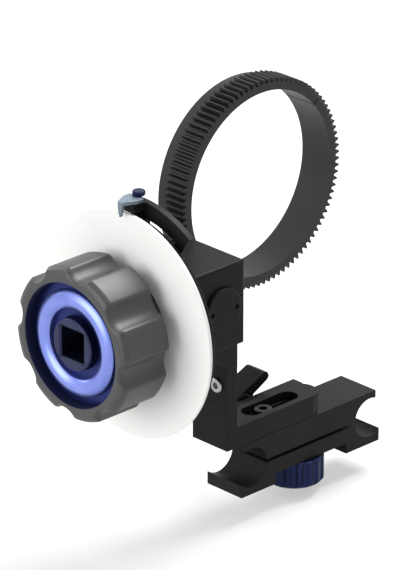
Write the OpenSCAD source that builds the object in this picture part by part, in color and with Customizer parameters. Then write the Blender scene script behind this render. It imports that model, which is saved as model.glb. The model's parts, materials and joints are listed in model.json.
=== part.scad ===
// Follow focus unit for 15 mm rods: handwheel, bevel gearbox, sliding bracket, rod clamp, lens gear.
// Frame: the origin is on the left rod's axis at the middle of the clamp.
// +X is the camera's right, +Y is forward along the rods, +Z is up. Units are millimetres.

/* [Rods and clamp] */
// Diameter of the two support rods
rod_diameter = 15; // [12:0.5:19]
// Distance between the axes of the two rods
rod_spacing = 60; // [50:1:80]
// Radial gap between a rod and its groove
rod_gap = 0.05; // [0.02:0.01:0.1]
// Length of the clamp along the rods
clamp_length = 17.5; // [14:0.5:30]
// Height of the clamp block's top above the rod axes
clamp_top = 10; // [9.5:0.5:14]
// Depth of the lower jaw below the rod axes
jaw_depth = 10.6; // [9.5:0.1:14]
// How far the clamp block reaches past each rod axis
block_reach = 3; // [1:0.5:6]
// How far the lower jaw reaches past each rod axis
jaw_reach = 5; // [3:0.5:6]
// Gap between clamp block and lower jaw
clamp_split = 1.2; // [0.6:0.1:3]
// Thickness of the jaw's web between its two saddles
jaw_web = 5.9; // [4:0.1:7]
// Half width of each jaw saddle, from the rod axis inward
jaw_saddle = 12; // [10:0.5:16]
// Diameter of the clamp thumbscrew's head
thumb_diameter = 22; // [16:1:26]
// Height of the clamp thumbscrew's head
thumb_height = 10; // [7:0.5:14]
// Number of grip notches round the clamp thumbscrew
thumb_notches = 16; // [8:1:24]
// Diameter of the clamp thumbscrew's stud
thumb_stud = 6; // [5:1:8]

/* [Sliding bracket] */
// Width of the slotted foot along the rods
foot_width = 12.75; // [10:0.25:16]
// Thickness of the foot
foot_height = 8; // [6:0.5:10]
// Left face of the upright column
column_left = -12.3; // [-16:0.1:-10]
// Thickness of the upright column
column_thickness = 5; // [4:0.5:8]
// How far the bracket slides away from the lens
slide_travel = 12; // [6:1:16]
// Width of the slot in the foot
slot_width = 5.2; // [4.2:0.1:6.5]
// Width of the slot's upper step, which the guide screw's head rides in
slot_step_width = 7.4; // [6.8:0.1:8]
// Depth of that step
slot_step_depth = 3.4; // [3:0.1:4.5]
// Left end of the slot
slot_start = 3.4; // [0:0.1:8]
// Length of the foot past the end of its slot
foot_margin = 10; // [6:0.5:14]
// Place of the guide screw, from the left rod
guide_place = 11.9; // [11.9:0.1:16]
// Diameter of the guide screw's shoulder
guide_diameter = 5; // [4:0.5:6]
// Diameter of the guide screw's head
guide_head_diameter = 6.8; // [6.2:0.1:7.4]
// Height of the lap joint's middle on the column
lap_middle = 34.4; // [30:0.1:40]
// Length of the lap joint up the column
lap_length = 14; // [10:1:18]
// Thickness of the arm's flange under the gearbox
flange_thickness = 5; // [4:0.5:7]

/* [Lock lever] */
// Place of the lock lever's axis, from the left rod
lever_place = 13.5; // [13.5:0.5:22]
// Height of the lock lever's axis above the rods
lever_height = 12.9; // [12:0.1:14]
// Length of the lever from its axis to its tip
lever_length = 15.6; // [12:0.1:20]
// Width of the lever along the rods
lever_width = 10; // [7:0.5:11]
// Angle of the lever above level
lever_angle = 24; // [0:1:45]
// Radius of the lever's hub
lever_hub = 5.2; // [4.5:0.1:6]
// Diameter of the lock screw
lock_screw = 5; // [4:0.5:5]

/* [Gearbox] */
// Height of the knob and drive axes above the rods
axis_height = 68; // [62:0.5:75]
// Place of the knob axis along the rods
axis_forward = 2; // [0:0.5:4]
// Left face of the gearbox
box_left = -42; // [-46:0.5:-40]
// Right face of the gearbox
box_right = -7.3; // [-9:0.1:-6]
// Length of the gearbox along the rods
box_length = 29; // [26:0.5:32]
// Height of the gearbox
box_height = 32; // [28:0.5:36]
// Radius of the gearbox's edges
box_edge = 1.4; // [0.6:0.1:2.5]
// Place of the drive axis, from the left rod
drive_place = -18.8; // [-19.2:0.1:-18.4]
// Diameter of the knob shaft
knob_shaft_size = 8; // [8:0.5:9]
// Outer diameter of the knob shaft's bearings
knob_bearing_size = 16; // [14:0.5:19]
// Diameter of the drive shaft
drive_shaft_size = 5; // [4:0.5:6]
// Outer diameter of the drive shaft's bearings
drive_bearing_size = 13; // [11:0.5:14]
// Thickness of the gearbox floor
floor_thickness = 2; // [1.5:0.5:3]

/* [Gears] */
// Pitch module of the lens gears, the film standard
lens_module = 0.8; // [0.8:0.1:1]
// Teeth on the drive gear
drive_teeth = 40; // [36:1:44]
// Teeth on the lens gear ring
ring_teeth = 96; // [90:1:100]
// Extra distance between the two gears' centres, for backlash
centre_extra = 0.2; // [0.1:0.05:0.3]
// Thinning of each lens gear tooth, for backlash
tooth_thinning = 0.15; // [0.1:0.01:0.25]
// Width of the toothed faces along the rods
gear_width = 9.6; // [8:0.1:12]
// Inner diameter of the lens gear ring
ring_bore = 69.4; // [66:0.2:71]
// Teeth on each bevel gear
bevel_teeth = 16; // [12:1:20]
// Pitch radius of the bevel gears
bevel_radius = 6; // [5.5:0.1:6.5]
// Length of the bevel teeth along the axis
bevel_face = 2.4; // [1.8:0.1:2.8]

/* [Handwheel] */
// Diameter of the handwheel grip over its lobes
grip_diameter = 56; // [50:0.5:62]
// Length of the handwheel grip
grip_length = 21.4; // [18:0.1:26]
// How far the grip stands off the disc
grip_gap = 5; // [1:0.1:7]
// Number of scallops round the grip
scallops = 8; // [6:1:12]
// Depth of a scallop
scallop_depth = 3; // [1:0.1:3.5]
// Radius of a scallop
scallop_radius = 6; // [5:0.5:9]
// Radius of the corners between lobe and scallop
lobe_corner = 1.5; // [0.5:0.1:2.5]
// Turn of the scallops at rest
scallop_turn = 7.5; // [0:0.5:45]
// Outer diameter of the blue accent ring
accent_diameter = 45; // [40:0.5:48]
// Inner diameter of the blue ring's raised face
accent_inner = 25.6; // [21:0.2:28]
// Width of the blue ring's raised face
accent_width = 6.4; // [5:0.2:8]
// Depth of the recess that holds the blue ring
recess_depth = 4.8; // [3.5:0.1:5.5]
// Diameter of the crank socket insert
insert_diameter = 19; // [17.5:0.5:20]
// Width across the flats of the square crank socket
socket_width = 11.2; // [9.5:0.1:12]
// Depth of the square crank socket
socket_depth = 13; // [10:0.5:14]

/* [Marking disc and index] */
// Diameter of the white marking disc
disc_diameter = 83; // [76:0.5:88]
// Front plane of the marking disc
disc_front = -50.8; // [-53:0.1:-50.8]
// Thickness of the marking disc
disc_thickness = 1.5; // [1:0.1:2]
// Thickness of the black backing disc
backing_thickness = 2.8; // [2:0.1:3]
// How far the backing disc's rim stays inside the white disc's
backing_inset = 1.7; // [0:0.1:3]
// How far the index arm stands past the rim
index_reach = 3.4; // [2.5:0.1:5]
// Thickness of the index arm
index_thickness = 2.3; // [1.5:0.1:2.4]
// Angle of the index sector towards the camera
index_sector = 34; // [20:1:45]

/* [Fits] */
// Radial running clearance of shafts and screws
running_gap = 0.05; // [0.02:0.01:0.1]
// Gap between pieces that are fixed together
seat_gap = 0.02; // [0.01:0.01:0.05]
// Gap between pieces that slide or turn past each other
slide_gap = 0.1; // [0.05:0.05:0.3]
// Thread diameter of the small fixing screws
small_screw = 3; // [2.5:0.5:3.5]

/* [Hidden] */
$fn = 96;
eps = 0.01;

// Colours of the plain solids
black_metal = [0.16, 0.16, 0.17];
black_grip = [0.22, 0.23, 0.25];
blue_metal = [0.30, 0.38, 0.78];
white_plate = [0.96, 0.96, 0.94];
steel_colour = [0.72, 0.73, 0.74];
brass_colour = [0.78, 0.66, 0.35];
gear_black = [0.12, 0.12, 0.12];

// Rods and clamp
rod_radius = rod_diameter / 2;
groove_radius = rod_radius + rod_gap;
clamp_middle = rod_spacing / 2;
block_bottom = clamp_split / 2;
jaw_top = -clamp_split / 2;
web_bottom = jaw_top - jaw_web;
thumb_top = web_bottom - slide_gap;
thumb_bottom = thumb_top - thumb_height;
stud_top = clamp_top - 2;
rail_height = 16.6;
rail_margin = 1.5;

// Foot and column
foot_bottom = clamp_top + slide_gap;
foot_top = foot_bottom + foot_height;
foot_rear = -clamp_length / 2;
foot_front = foot_rear + foot_width;
slot_forward = foot_rear + foot_width / 2;
slot_end = guide_place + guide_diameter / 2 + slide_travel + 0.4;
slot_step_bottom = foot_top - slot_step_depth;
foot_end = slot_end + foot_margin;
column_right = column_left + column_thickness;
lap_bottom = lap_middle - lap_length / 2;
lap_top = lap_middle + lap_length / 2;
lap_plane = column_left + column_thickness / 2;
lap_screw_offset = 3.6;
rail_rear = foot_front + slide_gap;
rail_front = clamp_length / 2;
guide_hole_bottom = clamp_top - 6;
lever_rear = rail_front + 0.6;
lever_front = lever_rear + lever_width;
lever_thickness = 4.2;
lock_screw_reach = 5;

// Gearbox
box_bottom = axis_height - box_height / 2;
box_top = axis_height + box_height / 2;
box_rear = axis_forward - box_length / 2;
box_front = axis_forward + box_length / 2;
flange_top = box_bottom;
flange_bottom = flange_top - flange_thickness;
flange_left = box_left + 2;
knob_radius = knob_shaft_size / 2;
knob_bearing = knob_bearing_size / 2;
drive_radius = drive_shaft_size / 2;
drive_bearing = drive_bearing_size / 2;
bearing_width = 5;
drive_bearing_width = 4;
boss_radius = 14;
boss_end = box_left - 3.8;
pocket_back = bevel_radius + 3;
pocket_side = bevel_radius + 1.1;
pocket_left = drive_place - pocket_back;
pocket_right = drive_place + pocket_side;
pocket_rear = axis_forward - pocket_side;
pocket_front = axis_forward + pocket_back;
pocket_top = axis_height + pocket_side;
inner_bearing_right = pocket_left - 0.6;
outer_bearing_left = boss_end + 0.8;
rear_bearing_rear = box_rear + 1.5;
front_bearing_front = box_front - 0.6;
cap_radius = drive_bearing + 1.8;
cap_depth = 1.6;
floor_margin = 2.4;
arm_screw_left = box_left + 5.6;
arm_screw_right = pocket_left - 3.6;
arm_screw_offset = clamp_length / 2 - 2.15;

// Gears
drive_pitch = lens_module * drive_teeth / 2;
ring_pitch = lens_module * ring_teeth / 2;
centre_distance = drive_pitch + ring_pitch + centre_extra;
ring_across = clamp_middle - drive_place;
ring_up = sqrt(centre_distance * centre_distance - ring_across * ring_across);
ring_height = axis_height + ring_up;
mesh_angle = atan2(ring_up, ring_across);
gear_rear = box_front + 0.8;
gear_front = gear_rear + gear_width;
ring_rear = gear_rear - 0.3;
ring_front = ring_rear + gear_width;
ring_inner = ring_bore / 2;
collar_front = ring_front + 4.6;
collar_outer = ring_inner + 2.6;
ring_split = 0.5;
seam_teeth = 44;
seam_turn = 180 - mesh_angle + seam_teeth * 360 / ring_teeth;
lug_half = 5.4;
lug_outer = ring_pitch + lens_module;
lug_rear = gear_front + 0.5;
lug_front = collar_front + 0.6;
lug_seat = -lug_half + 0.8;
tooth_turn = 0.2;
hub_radius = 4.5;
gear_screw_radius = 7;
gear_screw_height = 6;

// Handwheel
grip_radius = grip_diameter / 2;
grip_rear = disc_front - grip_gap;
grip_front = grip_rear - grip_length;
accent_radius = accent_diameter / 2;
accent_hole = insert_diameter / 2 + seat_gap;
accent_base = 0.6;
accent_crest = grip_front + 1.1;
accent_rise = 0.7;
scallop_place = grip_radius - scallop_depth + scallop_radius;
corner_place = grip_radius - lobe_corner;
corner_lean = acos((corner_place * corner_place + scallop_place * scallop_place
                    - pow(scallop_radius + lobe_corner, 2)) / (2 * corner_place * scallop_place));
insert_radius = insert_diameter / 2;
insert_front = grip_front + 0.9;
socket_chamfer = 1;
insert_rear = insert_front + socket_depth + 4;
socket_bottom = insert_front + socket_depth;
hub_screw_size = 5;
hub_screw_length = 14;
hub_head = 4.2;
hub_head_height = 3;
disc_radius = disc_diameter / 2;
disc_rear = disc_front + disc_thickness;
backing_front = disc_rear + seat_gap;
backing_rear = backing_front + backing_thickness;
backing_radius = disc_radius - backing_inset;
spigot_radius = 20;
disc_screw_ring = 15;
shaft_left = insert_rear + seat_gap;
index_right = box_left - 0.3;
index_left = index_right - index_thickness;
index_outer = disc_radius + index_reach;
pointer_width = 7;
pointer_tip = 2.2;
pointer_front = disc_front - 2.6;
pointer_thickness = 1.4;
index_screw_size = 2;
index_screw_reach = 1.36;
index_screw_place = index_left + 0.3;
index_head = 2.3;
index_head_height = 1.7;

// ---------- shared shapes ----------

// Puts a shape drawn round local z on the knob axis, with local z as X
module knob_axis() {
  translate([0, axis_forward, axis_height]) rotate([90, 0, 90]) children();
}

// Puts a shape drawn round local z on an axis along Y, with local z as Y
module forward_axis(x, z) {
  translate([x, 0, z]) rotate([-90, 0, 0]) children();
}

// A round bar or hole from one place to another along local z
module bar(radius, from, to) {
  translate([0, 0, from]) cylinder(r = radius, h = to - from);
}

// A bar with a chamfer at both ends
module chamfered_bar(radius, from, to, chamfer) {
  rotate_extrude() polygon([
    [0, from], [radius - chamfer, from], [radius, from + chamfer],
    [radius, to - chamfer], [radius - chamfer, to], [0, to]]);
}

// A tube from one place to another along local z
module tube(outer, inner, from, to) {
  difference() {
    bar(outer, from, to);
    bar(inner, from - 1, to + 1);
  }
}

// A flat rectangle with round corners, from its lower left corner
module rounded_rectangle(width, height, radius) {
  translate([radius, 0]) square([width - 2 * radius, height]);
  translate([0, radius]) square([width, height - 2 * radius]);
  for (x = [radius, width - radius], y = [radius, height - radius])
    translate([x, y]) circle(r = radius);
}

// A box between two corners
module box(low, high) {
  translate(low) cube(high - low);
}

// A box between two corners with every edge rounded
module rounded_box(low, high, radius) {
  size = high - low;
  translate(low) intersection() {
    linear_extrude(height = size[2]) rounded_rectangle(size[0], size[1], radius);
    translate([0, size[1], 0]) rotate([90, 0, 0])
      linear_extrude(height = size[1]) rounded_rectangle(size[0], size[2], radius);
    rotate([90, 0, 90])
      linear_extrude(height = size[0]) rounded_rectangle(size[1], size[2], radius);
  }
}

// A socket head screw along local z: the head is below place, the shank above it
module socket_screw(place, shank, length, head, head_height) {
  difference() {
    union() {
      chamfered_bar(head, place - head_height, place, 0.3);
      bar(shank, place - eps, place + length);
    }
    translate([0, 0, place - head_height - eps])
      cylinder(r = head * 0.5, h = head_height * 0.6, $fn = 6);
  }
}

// ---------- gear teeth ----------

// Involute angle in degrees at a radius
function involute(radius, base) =
  radius <= base ? 0 : sqrt(radius * radius / (base * base) - 1) * 180 / PI - acos(base / radius);

// Half of a tooth's angle at a radius
function half_tooth(radius, pitch, teeth, thinning) =
  (90 / teeth) - thinning / 2 / pitch * 180 / PI
  + involute(pitch, pitch * cos(20)) - involute(radius, pitch * cos(20));

// Radii of the points up one flank
function flank(root, base, tip, steps) = concat(
  root < base ? [root] : [],
  [for (i = [0 : steps]) max(root, base) + (tip - max(root, base)) * i / steps]);

// One point of a gear's outline
function polar(radius, angle) = [radius * cos(angle), radius * sin(angle)];

// A gear's outline, with a tooth at the angle named turn
function gear_outline(teeth, module_size, thinning, turn, steps) =
  let (pitch = module_size * teeth / 2,
       up = flank(pitch - 1.25 * module_size, pitch * cos(20), pitch + module_size, steps),
       last = len(up) - 1)
  [for (tooth = [0 : teeth - 1], i = [0 : 2 * last + 1])
    let (rising = i <= last,
         radius = up[rising ? i : 2 * last + 1 - i],
         side = half_tooth(radius, pitch, teeth, thinning))
    polar(radius, turn + tooth * 360 / teeth + (rising ? -side : side))];

// Teeth of a bevel gear: they shrink towards the point where the two axes cross
module bevel_teeth_solid(turn) {
  linear_extrude(height = bevel_face, scale = 1 - bevel_face / bevel_radius)
    polygon(gear_outline(bevel_teeth, 2 * bevel_radius / bevel_teeth, 0.15, turn, 3));
}

// ---------- rods and clamp ----------

// Upper half of the rod clamp, with the rail that guides the foot
module clamp_block() {
  color(black_metal) difference() {
    union() {
      box([-block_reach, -clamp_length / 2, block_bottom],
          [rod_spacing + block_reach, clamp_length / 2, clamp_top]);
      box([groove_radius + rail_margin, rail_rear, block_bottom],
          [foot_end + rail_margin, rail_front, rail_height]);
    }
    for (x = [0, rod_spacing])
      forward_axis(x, 0) bar(groove_radius, -clamp_length, clamp_length);
    translate([clamp_middle, 0, 0])
      bar(thumb_stud / 2 + running_gap, block_bottom - 1, stud_top + 0.4);
    translate([guide_place, slot_forward, 0])
      bar(guide_diameter / 2 + seat_gap, guide_hole_bottom, clamp_top + 1);
    forward_axis(lever_place, lever_height)
      bar(lock_screw / 2 + running_gap, rail_rear - 1, rail_front + 1);
  }
}

// Lower half of the rod clamp: two saddles joined by a thinner web
module rod_jaw() {
  color(black_metal) difference() {
    union() {
      box([-jaw_reach, -clamp_length / 2, -jaw_depth], [jaw_saddle, clamp_length / 2, jaw_top]);
      box([rod_spacing - jaw_saddle, -clamp_length / 2, -jaw_depth],
          [rod_spacing + jaw_reach, clamp_length / 2, jaw_top]);
      box([0, -clamp_length / 2, web_bottom], [rod_spacing, clamp_length / 2, jaw_top]);
    }
    for (x = [0, rod_spacing])
      forward_axis(x, 0) bar(groove_radius, -clamp_length, clamp_length);
    translate([clamp_middle, 0, 0])
      bar(thumb_stud / 2 + running_gap, web_bottom - 1, jaw_top + 1);
  }
}

// Blue thumbscrew under the jaw: a notched head on a steel stud
module clamp_thumbscrew() {
  color(blue_metal) translate([clamp_middle, 0, 0]) difference() {
    chamfered_bar(thumb_diameter / 2, thumb_bottom, thumb_top, 0.8);
    for (i = [0 : thumb_notches - 1])
      rotate([0, 0, i * 360 / thumb_notches]) translate([thumb_diameter / 2 + 0.7, 0, 0])
        bar(1.6, thumb_bottom - 1, thumb_top + 1);
    bar(thumb_stud / 2 + seat_gap, thumb_bottom + 2.5, thumb_top + 1);
    translate([0, 0, thumb_bottom - eps]) cylinder(r1 = 6, r2 = 5, h = 1);
  }
}

// Steel stud pressed in the thumbscrew; its thread is in the clamp block
module clamp_stud() {
  color(steel_colour) translate([clamp_middle, 0, 0])
    chamfered_bar(thumb_stud / 2, thumb_bottom + 2.6, stud_top, 0.5);
}

// ---------- sliding bracket ----------

// Foot with its slot, and the lower half of the column
module slide_foot() {
  color(black_metal) difference() {
    union() {
      box([column_right - 1, foot_rear, foot_bottom],
          [foot_end - foot_width / 2, foot_front, foot_top]);
      translate([foot_end - foot_width / 2, slot_forward, 0])
        bar(foot_width / 2, foot_bottom, foot_top);
      box([column_left, -clamp_length / 2, foot_bottom],
          [column_right, clamp_length / 2, lap_bottom]);
      box([lap_plane, -clamp_length / 2, lap_bottom - 1],
          [column_right, clamp_length / 2, lap_top]);
    }
    slot(slot_width, foot_bottom - 1, foot_top + 1);
    slot(slot_step_width, slot_step_bottom, foot_top + 1);
    lap_holes(small_screw / 2 + seat_gap, column_left - 1, column_right + 1);
  }
}

// The foot's slot, with round ends
module slot(width, from, to) {
  left = slot_start + slot_width / 2;
  right = slot_end - slot_width / 2;
  for (x = [left, right])
    translate([x, slot_forward, 0]) bar(width / 2, from, to);
  box([left, slot_forward - width / 2, from], [right, slot_forward + width / 2, to]);
}

// Holes or bars along X at the lap joint's two screws
module lap_holes(radius, from, to) {
  for (y = [-lap_screw_offset, lap_screw_offset])
    translate([0, y, lap_middle]) rotate([90, 0, 90]) bar(radius, from, to);
}

// Upper half of the column, and the flange that carries the gearbox
module gearbox_arm() {
  color(black_metal) difference() {
    union() {
      box([column_left, -clamp_length / 2, lap_top + seat_gap],
          [column_right, clamp_length / 2, flange_top]);
      box([column_left, -clamp_length / 2, lap_bottom + seat_gap],
          [lap_plane - seat_gap, clamp_length / 2, lap_top + 1]);
      box([flange_left, -clamp_length / 2, flange_bottom],
          [column_left + 1, clamp_length / 2 + 1.5, flange_top]);
      gusset();
    }
    lap_holes(small_screw / 2 + seat_gap, column_left - 1, column_right + 1);
    lap_holes(2.9, column_left - 1, column_left + 0.9);
    for (x = [arm_screw_left, arm_screw_right], y = [-arm_screw_offset, arm_screw_offset])
      translate([x, axis_forward + y, 0])
        bar(small_screw / 2 + seat_gap, flange_bottom - 1, flange_top + 1);
  }
}

// Sloped rib in the corner between column and flange
module gusset() {
  translate([0, clamp_length / 2, 0]) rotate([90, 0, 0]) linear_extrude(height = clamp_length)
    polygon([[column_left + 0.5, flange_bottom + 0.5], [column_left - 5, flange_bottom + 0.5],
             [column_left - 5, flange_bottom], [column_left, flange_bottom - 5],
             [column_left + 0.5, flange_bottom - 5]]);
}

// Two screws that hold the lap joint; their heads sit in the arm
module lap_screws() {
  color(steel_colour) for (y = [-lap_screw_offset, lap_screw_offset])
    translate([0, y, lap_middle]) rotate([90, 0, 90])
      socket_screw(column_left + 0.9, small_screw / 2, column_thickness - 1.2, 2.7, 1.7);
}

// Shoulder screw in the slot; its head rides on the step and keeps the foot on the block
module guide_screw() {
  under_head = slot_step_bottom + slide_gap;
  color(black_metal) translate([guide_place, slot_forward, 0]) rotate([180, 0, 0])
    socket_screw(-under_head, guide_diameter / 2, under_head - guide_hole_bottom - 0.2,
                 guide_head_diameter / 2, slot_step_depth - 0.9);
}

// ---------- lock lever ----------

// Lever on the front of the rail: a flat paddle that leaves the top of its hub
module lock_lever() {
  top = -lever_hub;
  color(black_metal) forward_axis(lever_place, lever_height) difference() {
    union() {
      chamfered_bar(lever_hub, lever_rear, lever_front, 0.5);
      rotate([0, 0, -lever_angle]) translate([0, 0, lever_rear + 0.4])
        linear_extrude(height = lever_width - 0.8)
          polygon([
            [0, top], [lever_length - 1.2, top + 0.3], [lever_length, top + 1.3],
            [lever_length, top + lever_thickness - 1.2],
            [lever_length - 1.2, top + lever_thickness - 0.4],
            [lever_hub + 1.5, top + lever_thickness], [lever_hub - 0.4, 0], [0, 0]]);
    }
    bar(lock_screw / 2 + seat_gap, lever_rear - 1, lever_rear + lock_screw_reach + 0.1);
  }
}

// Lock screw: its end presses the pad against the foot
module lock_lever_screw() {
  color(steel_colour) forward_axis(lever_place, lever_height)
    chamfered_bar(lock_screw / 2, rail_rear + 1.3, lever_rear + lock_screw_reach, 0.4);
}

// Brass pad between lock screw and foot
module lock_pad() {
  color(brass_colour) forward_axis(lever_place, lever_height)
    bar(lock_screw / 2 - 0.1, rail_rear + 0.05, rail_rear + 1.2);
}

// ---------- gearbox ----------

// Housing: bored for both shafts, open underneath for the bevel gears
module gear_housing() {
  color(black_metal) difference() {
    union() {
      rounded_box([box_left, box_rear, box_bottom], [box_right, box_front, box_top], box_edge);
      knob_axis() bar(boss_radius, boss_end, box_left + box_edge + 1);
    }
    knob_axis() {
      bar(knob_bearing + seat_gap, boss_end - 1, inner_bearing_right);
      bar(knob_radius + 1.5, boss_end, pocket_left + 1);
      tube(boss_radius + 1, boss_radius - 0.6, boss_end + 0.4, boss_end + 1.1);
    }
    forward_axis(drive_place, axis_height) {
      bar(drive_bearing + seat_gap, box_rear - 1, rear_bearing_rear + drive_bearing_width);
      bar(drive_radius + 1.5, box_rear, box_front);
      bar(drive_bearing + seat_gap, front_bearing_front - drive_bearing_width, box_front + 1);
    }
    box([pocket_left, pocket_rear, box_bottom - 1], [pocket_right, pocket_front, pocket_top]);
    floor_outline(seat_gap, box_bottom - 1, box_bottom + floor_thickness + seat_gap);
    for (x = [arm_screw_left, arm_screw_right], y = [-arm_screw_offset, arm_screw_offset])
      translate([x, axis_forward + y, 0])
        bar(small_screw / 2 + seat_gap, box_bottom - 1, box_bottom + 7.2);
  }
}

// The floor plate's shape, also cut from the housing
module floor_outline(grow, from, to) {
  width = box_right - box_left - 2 * floor_margin + 2 * grow;
  length = box_length - 2 * floor_margin + 2 * grow;
  translate([box_left + floor_margin - grow, box_rear + floor_margin - grow, from])
    linear_extrude(height = to - from) rounded_rectangle(width, length, 2);
}

// Floor plate that closes the gear pocket
module housing_floor() {
  color(black_metal) difference() {
    floor_outline(0, box_bottom + seat_gap, box_bottom + floor_thickness);
    for (x = [arm_screw_left, arm_screw_right], y = [-arm_screw_offset, arm_screw_offset])
      translate([x, axis_forward + y, 0])
        bar(small_screw / 2 + seat_gap, box_bottom - 1, box_bottom + floor_thickness + 1);
  }
}

// Four screws from below, through flange and floor into the housing
module arm_screws() {
  color(steel_colour)
    for (x = [arm_screw_left, arm_screw_right], y = [-arm_screw_offset, arm_screw_offset])
      translate([x, axis_forward + y, 0])
        socket_screw(flange_bottom, small_screw / 2, flange_thickness + 7, 2.7, 2.4);
}

// A ball bearing drawn as a ring with a shallow shield groove in each face
module bearing(outer, inner, from, width) {
  middle = (outer + inner) / 2;
  difference() {
    tube(outer, inner + running_gap, from, from + width);
    tube(middle + 1, middle - 1, from - 1, from + 0.3);
    tube(middle + 1, middle - 1, from + width - 0.3, from + width + 1);
  }
}

// Two bearings of the knob shaft
module knob_bearings() {
  color(steel_colour) knob_axis() {
    bearing(knob_bearing, knob_radius, outer_bearing_left, bearing_width);
    bearing(knob_bearing, knob_radius, inner_bearing_right - bearing_width, bearing_width - eps);
  }
}

// Sleeve that keeps the knob shaft's bearings apart
module bearing_spacer() {
  color(steel_colour) knob_axis()
    tube(knob_bearing - 0.1, knob_radius + 1.5, outer_bearing_left + bearing_width + seat_gap,
         inner_bearing_right - bearing_width - seat_gap);
}

// Two bearings of the drive shaft
module drive_bearings() {
  color(steel_colour) forward_axis(drive_place, axis_height) {
    bearing(drive_bearing, drive_radius, rear_bearing_rear + eps, drive_bearing_width - 2 * eps);
    bearing(drive_bearing, drive_radius, front_bearing_front - drive_bearing_width + eps,
            drive_bearing_width - 2 * eps);
  }
}

// Round cap over the rear bearing
module rear_cap() {
  color(black_metal) forward_axis(drive_place, axis_height) difference() {
    union() {
      chamfered_bar(cap_radius, box_rear - cap_depth, box_rear - seat_gap, 0.4);
      bar(drive_bearing - 0.1, box_rear - 0.5, rear_bearing_rear - seat_gap);
    }
    bar(drive_radius + 0.6, rear_bearing_rear - 1.2, rear_bearing_rear + 1);
    for (angle = [0, 180])
      rotate([0, 0, angle]) translate([cap_radius - 2.4, 0, 0])
        bar(0.9, box_rear - cap_depth - 1, box_rear - cap_depth + 0.7);
  }
}

// Snap ring that holds the index ring on the boss
module snap_ring() {
  color(steel_colour) knob_axis() difference() {
    tube(boss_radius + 1.4, boss_radius - 0.55, boss_end + 0.45, boss_end + 1.05);
    translate([0, -boss_radius - 1, boss_end]) cube([5, 6, 4], center = true);
  }
}

// ---------- shafts and gears ----------

// Knob shaft: steps down to carry its bevel gear
module knob_shaft() {
  color(steel_colour) knob_axis() difference() {
    union() {
      bar(knob_radius, shaft_left, drive_place - bevel_radius - 2.7);
      bar(drive_radius, drive_place - bevel_radius - 3, drive_place - bevel_radius + bevel_face);
    }
    bar(hub_screw_size / 2 + seat_gap, shaft_left - 1, socket_bottom + hub_screw_length + 0.4);
  }
}

// Bevel gear on the knob shaft
module knob_bevel_gear() {
  color(brass_colour) knob_axis() difference() {
    union() {
      translate([0, 0, drive_place - bevel_radius]) bevel_teeth_solid(0);
      bar(hub_radius, drive_place - bevel_radius - 2.6, drive_place - bevel_radius + eps);
    }
    bar(drive_radius + seat_gap, drive_place - 12, drive_place);
  }
}

// Drive shaft, across the gearbox and out at the front
module drive_shaft() {
  color(steel_colour) forward_axis(drive_place, axis_height) difference() {
    chamfered_bar(drive_radius, rear_bearing_rear + 0.1, gear_front + 0.4, 0.3);
    bar(1.5 + seat_gap, gear_front - 7, gear_front + 1);
  }
}

// Bevel gear on the drive shaft
module drive_bevel_gear() {
  color(brass_colour) difference() {
    union() {
      translate([drive_place, axis_forward + bevel_radius, axis_height]) rotate([90, 0, 0])
        bevel_teeth_solid(180 / bevel_teeth);
      forward_axis(drive_place, axis_height)
        bar(hub_radius, axis_forward + bevel_radius - eps, axis_forward + bevel_radius + 2.6);
    }
    forward_axis(drive_place, axis_height)
      bar(drive_radius + seat_gap, axis_forward, axis_forward + 12);
  }
}

// Toothed drive gear with a recessed, drilled web
module drive_gear() {
  rim = drive_pitch - 1.25 * lens_module - 2;
  color(gear_black) forward_axis(drive_place, axis_height) difference() {
    translate([0, 0, gear_rear]) linear_extrude(height = gear_width)
      polygon(gear_outline(drive_teeth, lens_module, tooth_thinning,
                           tooth_turn - mesh_angle, 3));
    bar(drive_radius + seat_gap, gear_rear - 1, gear_front + 1);
    tube(rim, hub_radius + 1.5, gear_rear - 1, gear_rear + 2.6);
    tube(rim, hub_radius + 3.2, gear_front - 2.6, gear_front + 1);
    for (i = [0 : 5])
      rotate([0, 0, i * 60]) translate([(rim + hub_radius + 1.5) / 2 + 0.6, 0, 0])
        bar(2.1, gear_rear - 1, gear_front + 1);
  }
}

// Knurled screw that holds the drive gear on its shaft
module gear_thumbscrew() {
  from = gear_front + 0.5;
  color(blue_metal) forward_axis(drive_place, axis_height) difference() {
    union() {
      chamfered_bar(gear_screw_radius, from, from + gear_screw_height, 0.6);
      bar(1.5, gear_front - 6, from + 1);
    }
    for (i = [0 : 17])
      rotate([0, 0, i * 20]) translate([gear_screw_radius + 0.35, 0, 0])
        bar(0.8, from - 1, from + gear_screw_height + 1);
  }
}

// ---------- lens gear ring ----------

// Split, toothed ring that clamps round the lens
module gear_ring() {
  color(gear_black) forward_axis(clamp_middle, ring_height) difference() {
    union() {
      translate([0, 0, ring_rear]) linear_extrude(height = gear_width)
        polygon(gear_outline(ring_teeth, lens_module, tooth_thinning,
                             180 - mesh_angle + 180 / ring_teeth, 2));
      bar(collar_outer, ring_front - 1, collar_front);
      rotate([0, 0, seam_turn])
        box([ring_inner + 1, -lug_half, lug_rear], [lug_outer, lug_half, lug_front]);
    }
    bar(ring_inner, ring_rear - 1, lug_front + 1);
    rotate([0, 0, seam_turn]) {
      box([ring_inner - 1, -ring_split / 2, ring_rear - 1],
          [lug_outer + 1, ring_split / 2, lug_front + 1]);
      ring_screw_place() {
        bar(1 + seat_gap, -lug_half - 1, lug_half + 1);
        bar(1.7, -lug_half - 2, lug_seat);
      }
    }
  }
}

// Puts a shape on the ring screw's axis, across the split
module ring_screw_place() {
  translate([lug_outer - 1.9, 0, (lug_rear + lug_front) / 2])
    rotate([-90, 0, 0]) children();
}

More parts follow.
